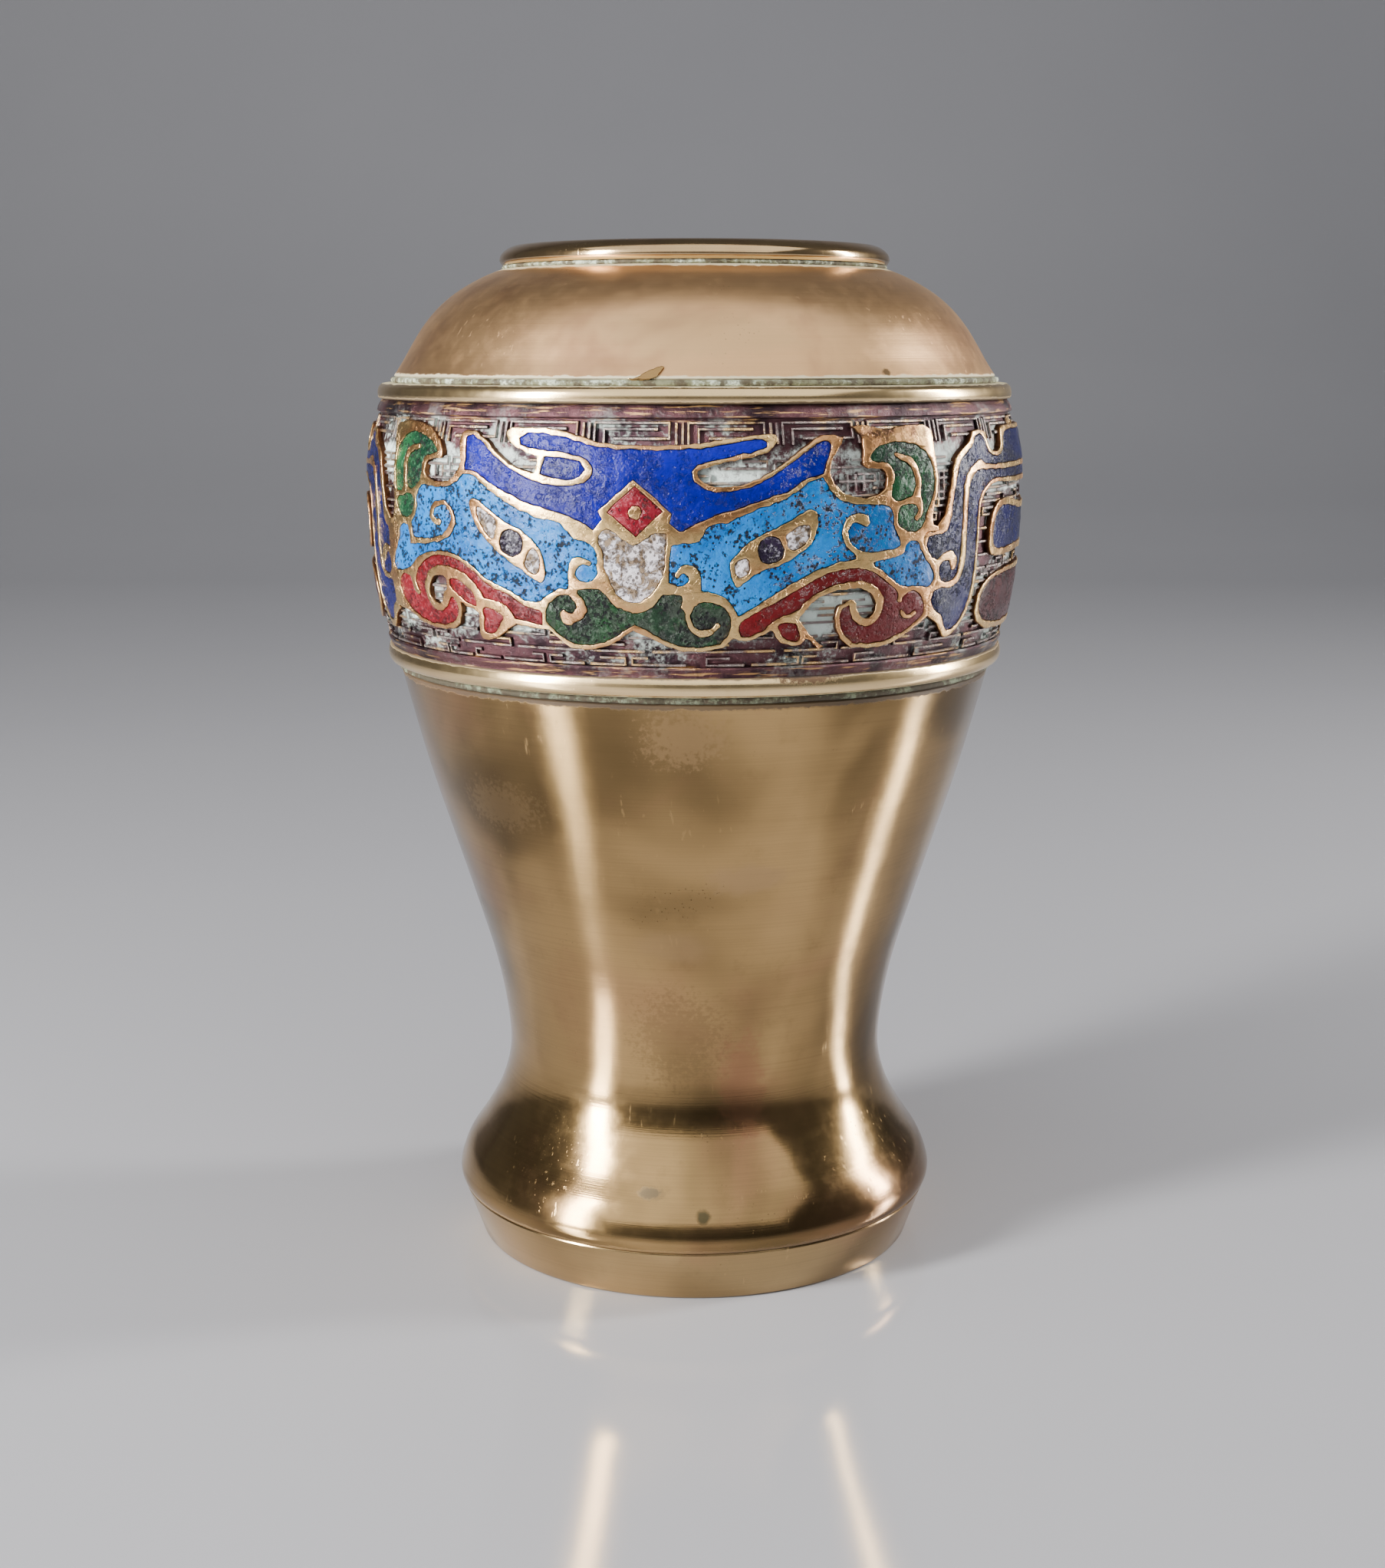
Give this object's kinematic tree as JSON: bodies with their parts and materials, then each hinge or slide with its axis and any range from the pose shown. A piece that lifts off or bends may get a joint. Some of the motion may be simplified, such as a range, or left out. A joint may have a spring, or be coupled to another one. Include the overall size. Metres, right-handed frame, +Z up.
{
  "type": "vase",
  "caption": "Brass vase with a flared foot, a tapering body and a domed shoulder, joined by bead rings to a barrel band of enamelled animal masks in cast cells.",
  "frame": {"origin": "centre of the foot's standing face, on the vase's axis", "axes": "+Z up along the vase's axis; -Y towards the front mask's side, which is turned 9.5 degrees to the left of -Y; +X to the right of the front"},
  "size_m": [0.0974, 0.0974, 0.15],
  "materials": {
    "brass_turned": "hand-rubbed, with brown patina",
    "brass_walls": "ground flush with the enamel, fine cracks",
    "brass_cast": "cast fret ground, dark brown patina",
    "verdigris": "pale green crust in the solder seams",
    "cobalt_enamel": "glossy, pitted",
    "turquoise_enamel": "glossy, black pits",
    "green_enamel": "glossy, pitted",
    "dark_green_enamel": "dull, speckled",
    "red_enamel": "glossy, pitted",
    "white_enamel": "dull, beige mottling",
    "dark_enamel": "speckled"
  },
  "bodies": {
    "root": {"foot_ring": "brass_turned", "base_disc": "brass_turned", "lower_body": "brass_turned", "lower_solder_seam": "verdigris", "lower_bead_ring": "brass_turned", "champleve_band": "brass_cast", "upper_bead_ring": "brass_turned", "upper_solder_seam": "verdigris", "shoulder_dome": "brass_turned", "lip_solder_seam": "verdigris", "lip_ring": "brass_turned", "front_mask_walls": "brass_walls", "front_brow_cobalt": "cobalt_enamel", "front_face_turquoise": "turquoise_enamel", "front_horns_green": "green_enamel", "front_chin_green": "dark_green_enamel", "front_whiskers_red": "red_enamel", "front_diamond_red": "red_enamel", "front_nose_white": "white_enamel", "front_eye_whites": "white_enamel", "front_pupils": "dark_enamel", "back_mask_walls": "brass_walls", "back_brow_cobalt": "cobalt_enamel", "back_face_turquoise": "turquoise_enamel", "back_horns_green": "green_enamel", "back_chin_green": "dark_green_enamel", "back_whiskers_red": "red_enamel", "back_diamond_red": "red_enamel", "back_nose_white": "white_enamel", "back_eye_whites": "white_enamel", "back_pupils": "dark_enamel", "right_panel_walls": "brass_walls", "right_panel_cobalt": "cobalt_enamel", "right_panel_red": "red_enamel", "left_panel_walls": "brass_walls", "left_panel_cobalt": "cobalt_enamel", "left_panel_red": "red_enamel"}
  },
  "joints": []
}
